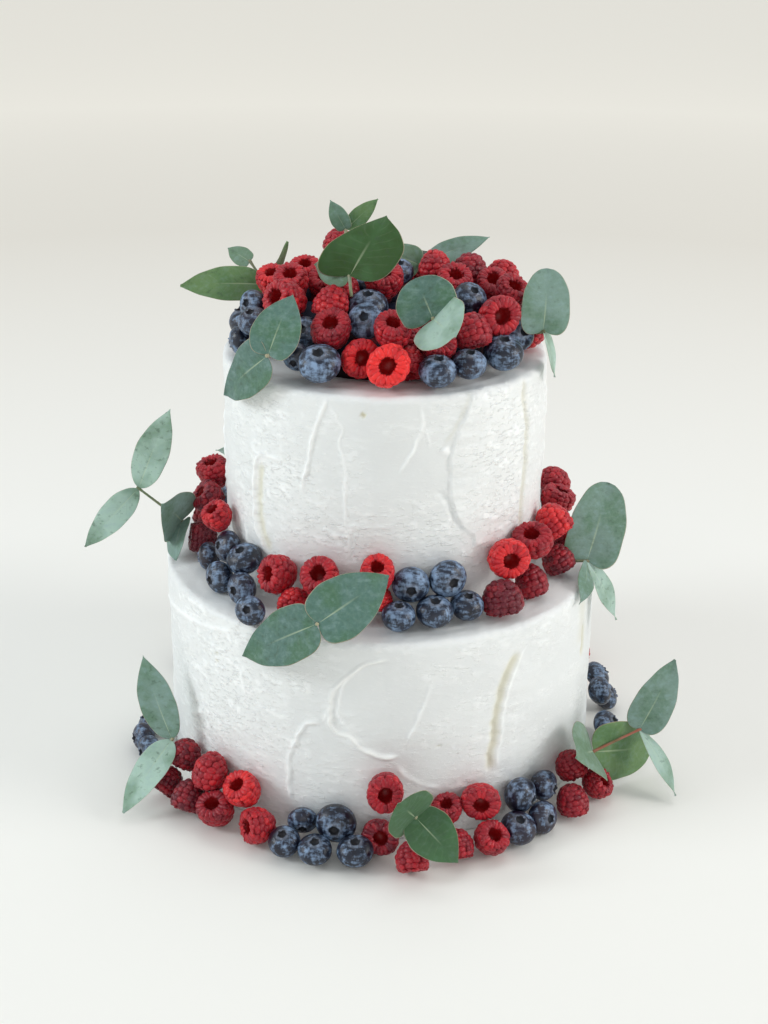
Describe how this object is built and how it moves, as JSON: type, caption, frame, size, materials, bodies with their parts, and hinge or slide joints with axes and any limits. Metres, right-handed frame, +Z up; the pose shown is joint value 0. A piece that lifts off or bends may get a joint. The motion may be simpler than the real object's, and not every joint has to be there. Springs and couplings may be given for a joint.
{
  "type": "two-tier berry cake",
  "caption": "Round two-tier cake with spatula-finished white frosting, raspberries and blueberries heaped on top and round both tiers, and small eucalyptus sprigs.",
  "frame": {"origin": "middle of the lower tier's flat base, on the surface the cake stands on", "axes": "+Z up along the lower tier's axis, -Y towards the cake's front, +X to the right as seen from the front"},
  "size_m": [0.3043, 0.2974, 0.2874],
  "materials": {
    "frosting": "soft matte, spatula marks",
    "raspberry": "soft satin",
    "blueberry": "waxy bloom",
    "mixed_fruit": "soft satin",
    "leaf": "waxy matte"
  },
  "bodies": {
    "root": {"lower_tier": "frosting", "upper_tier": "frosting", "top_fruit_heap": "mixed_fruit", "ledge_fruit_left": "mixed_fruit", "ledge_fruit_front_left": "mixed_fruit", "ledge_raspberries_front": "raspberry", "ledge_blueberries_front": "blueberry", "ledge_raspberries_right": "raspberry", "ledge_blueberries_back_right": "blueberry", "ledge_raspberries_back": "raspberry", "ledge_blueberries_back_left": "blueberry", "foot_blueberries_left": "blueberry", "foot_raspberries_left": "raspberry", "foot_blueberries_front_left": "blueberry", "foot_raspberries_front": "raspberry", "foot_raspberries_front_right": "raspberry", "foot_blueberries_front_right": "blueberry", "foot_raspberries_right": "raspberry", "foot_blueberries_right": "blueberry", "foot_raspberries_back_right": "raspberry", "foot_blueberries_back": "blueberry", "foot_raspberries_back": "raspberry", "foot_blueberries_back_left": "blueberry", "top_sprig_left": "leaf", "top_sprig_front_left": "leaf", "top_sprig_tall": "leaf", "top_sprig_middle": "leaf", "top_sprig_front_right": "leaf", "top_sprig_right": "leaf", "top_sprig_back": "leaf", "ledge_sprig_left": "leaf", "ledge_sprig_front": "leaf", "ledge_sprig_right": "leaf", "ledge_sprig_back": "leaf", "foot_sprig_left": "leaf", "foot_sprig_front": "leaf", "foot_sprig_right": "leaf", "foot_sprig_back": "leaf"}
  },
  "joints": []
}
